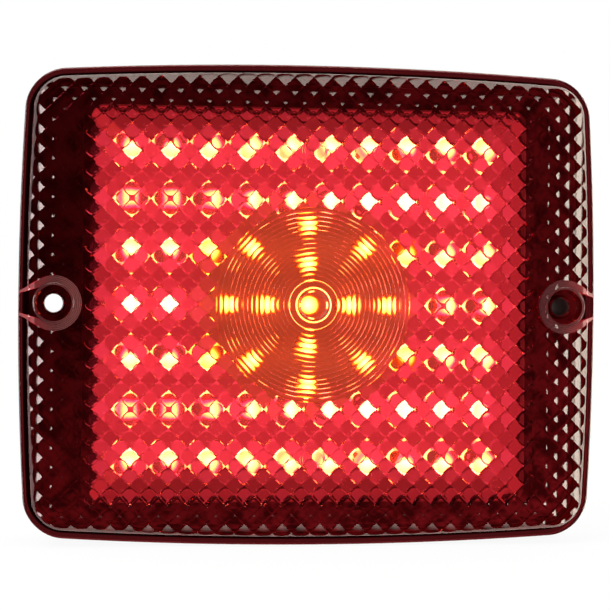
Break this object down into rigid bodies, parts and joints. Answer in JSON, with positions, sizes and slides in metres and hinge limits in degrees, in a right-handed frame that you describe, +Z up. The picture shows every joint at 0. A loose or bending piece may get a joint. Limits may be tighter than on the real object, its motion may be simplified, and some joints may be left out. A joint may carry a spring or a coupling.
{
  "type": "trailer tail light",
  "caption": "Rectangular surface-mount trailer tail light with a red faceted lens, central ring lens, amber and red diodes on a board, black housing and two screw bosses.",
  "frame": {"origin": "centre of the mounting plane (rear face of the mounting gasket), midway between the two screw holes; the cable tail is as long as the lamp is deep, so this is also the centre of the bounding box", "axes": "+X to the right seen from the front, -Y out of the lens towards the viewer, +Y into the vehicle panel, +Z up"},
  "size_m": [0.1476, 0.0645, 0.1218],
  "materials": {
    "lens_red_acrylic": "clear moulded red acrylic, polished",
    "seal_rubber": "moulded black rubber",
    "foam_rubber": "closed-cell foam, matt",
    "housing_black": "moulded black plastic, lightly textured",
    "board_laminate": "white solder mask over glass-fibre laminate",
    "screw_steel": "zinc plated",
    "sleeve_steel": "plain turned steel",
    "led_red": "clear epoxy, red emitter",
    "led_amber": "clear epoxy, amber emitter",
    "resistor_body": "lacquered ceramic rod",
    "diode_body": "moulded black epoxy with a pale cathode band",
    "capacitor_can": "sleeved aluminium can",
    "cable_jacket_black": "extruded black sheath",
    "wire_white": "extruded insulation",
    "wire_brown": "extruded insulation",
    "wire_red": "extruded insulation",
    "wire_yellow": "extruded insulation"
  },
  "bodies": {
    "housing": {"amber_led_centre": "led_amber", "amber_led_corner_1": "led_amber", "amber_led_corner_2": "led_amber", "amber_led_corner_3": "led_amber", "amber_led_corner_4": "led_amber", "amber_led_inner_bottom": "led_amber", "amber_led_inner_left": "led_amber", "amber_led_inner_right": "led_amber", "amber_led_inner_top": "led_amber", "amber_led_outer_1": "led_amber", "amber_led_outer_2": "led_amber", "amber_led_outer_3": "led_amber", "amber_led_outer_4": "led_amber", "amber_led_outer_5": "led_amber", "amber_led_outer_6": "led_amber", "amber_led_outer_7": "led_amber", "amber_led_outer_8": "led_amber", "board_screw_1": "screw_steel", "board_screw_2": "screw_steel", "board_screw_3": "screw_steel", "board_screw_4": "screw_steel", "cable_jacket": "cable_jacket_black", "capacitor": "capacitor_can", "circuit_board": "board_laminate", "diode_lower": "diode_body", "diode_upper": "diode_body", "housing": "housing_black", "lens_gasket": "seal_rubber", "mounting_gasket": "foam_rubber", "mounting_sleeve_left": "sleeve_steel", "mounting_sleeve_right": "sleeve_steel", "red_led_row_1": "led_red", "red_led_row_2": "led_red", "red_led_row_3_left": "led_red", "red_led_row_3_right": "led_red", "red_led_row_4_left": "led_red", "red_led_row_4_right": "led_red", "red_led_row_5_left": "led_red", "red_led_row_5_right": "led_red", "red_led_row_6": "led_red", "red_led_row_7": "led_red", "resistor_lower_1": "resistor_body", "resistor_lower_2": "resistor_body", "resistor_lower_3": "resistor_body", "resistor_upper_1": "resistor_body", "resistor_upper_2": "resistor_body", "resistor_upper_3": "resistor_body", "vent_plug": "seal_rubber", "wire_grommet": "seal_rubber", "wire_ground": "wire_white", "wire_stop": "wire_red", "wire_tail": "wire_brown", "wire_turn": "wire_yellow"},
    "lens": {"lens": "lens_red_acrylic"}
  },
  "joints": [
    {"name": "lens_lift", "type": "slide", "parent": "housing", "child": "lens", "axis": [0, -1, 0], "range_m": [0, 0.045]}
  ]
}
